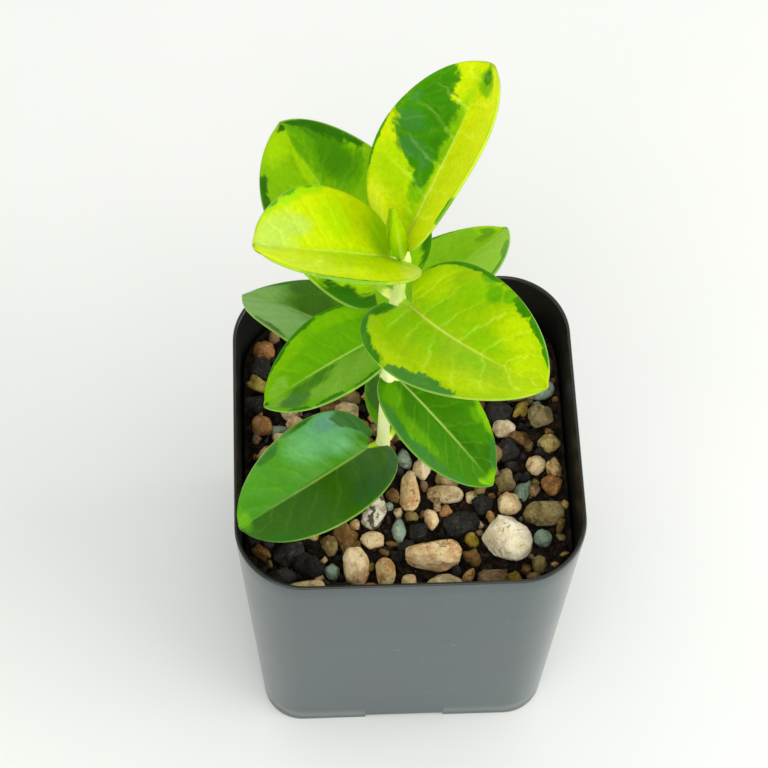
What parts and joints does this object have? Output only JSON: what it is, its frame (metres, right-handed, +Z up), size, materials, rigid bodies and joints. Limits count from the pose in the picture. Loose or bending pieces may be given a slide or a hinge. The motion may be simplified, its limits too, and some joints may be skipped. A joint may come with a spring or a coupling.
{
  "type": "potted hoya cumingiana",
  "caption": "Young variegated hoya with an upright stem and pairs of heart-shaped leaves, in a thin square plastic nursery pot topped with mixed gravel.",
  "frame": {"origin": "middle of the pot's foot, on the surface that it stands on", "axes": "+Z up along the pot, -Y towards the pot's front face, +X to the right seen from the front"},
  "size_m": [0.075, 0.075, 0.1959],
  "materials": {
    "pot_plastic": "satin moulded plastic with faint scuffs",
    "growing_medium": "dark crumbly mix",
    "stem": "smooth pale yellow-green bark",
    "variegated_leaf": "waxy, lime middle with dark green margins and blotches, pale veins",
    "young_leaf": "waxy lime green",
    "stone_cream": "worn cream stone",
    "stone_tan": "worn tan stone",
    "stone_pale": "worn pale tan stone",
    "stone_streaked": "white stone with grey streaks",
    "stone_olive": "olive stone",
    "stone_green": "pale grey-green stone",
    "stone_orange": "orange-brown stone",
    "stone_yellow": "yellow stone",
    "stone_brown": "brown stone",
    "lava_rock": "rough black lava"
  },
  "bodies": {
    "root": {"pot": "pot_plastic", "growing_medium": "growing_medium", "stem": "stem", "leaf_top_back_right": "variegated_leaf", "leaf_top_front_left": "variegated_leaf", "leaf_upper_back_left": "variegated_leaf", "leaf_upper_front_right": "variegated_leaf", "leaf_middle_back_right": "variegated_leaf", "leaf_middle_front_left": "variegated_leaf", "leaf_lower_back_left": "variegated_leaf", "leaf_lower_front_right": "variegated_leaf", "leaf_lowest_front_left": "variegated_leaf", "leaf_lowest_back_right": "variegated_leaf", "young_leaf_left": "young_leaf", "young_leaf_right": "young_leaf", "stone_01_cream": "stone_cream", "stone_02_tan": "stone_tan", "stone_03_pale": "stone_pale", "stone_04_tan": "stone_tan", "stone_05_tan": "stone_tan", "stone_06_tan": "stone_tan", "stone_07_tan": "stone_tan", "stone_08_streaked": "stone_streaked", "stone_09_tan": "stone_tan", "stone_10_pale": "stone_pale", "stone_11_tan": "stone_tan", "stone_12_green": "stone_green", "stone_13_green": "stone_green", "stone_14_lava": "lava_rock", "stone_15_lava": "lava_rock", "stone_16_lava": "lava_rock", "stone_17_tan": "stone_tan", "stone_18_olive": "stone_olive", "stone_19_green": "stone_green", "stone_20_brown": "stone_brown", "stone_21_olive": "stone_olive", "stone_22_orange": "stone_orange", "stone_23_tan": "stone_tan", "stone_24_yellow": "stone_yellow", "stone_25_yellow": "stone_yellow", "stone_26_green": "stone_green", "stone_27_tan": "stone_tan", "stone_28_lava": "lava_rock", "stone_29_olive": "stone_olive", "stone_30_green": "stone_green", "stone_31_lava": "lava_rock", "stone_32_lava": "lava_rock", "stone_33_orange": "stone_orange", "stone_34_orange": "stone_orange", "stone_35_tan": "stone_tan", "stone_36_pale": "stone_pale", "stone_37_tan": "stone_tan", "stone_38_lava": "lava_rock", "stone_39_tan": "stone_tan", "stone_40_olive": "stone_olive", "stone_41_tan": "stone_tan", "stone_42_lava": "lava_rock", "stone_43_cream": "stone_cream", "stone_44_brown": "stone_brown"}
  },
  "joints": []
}
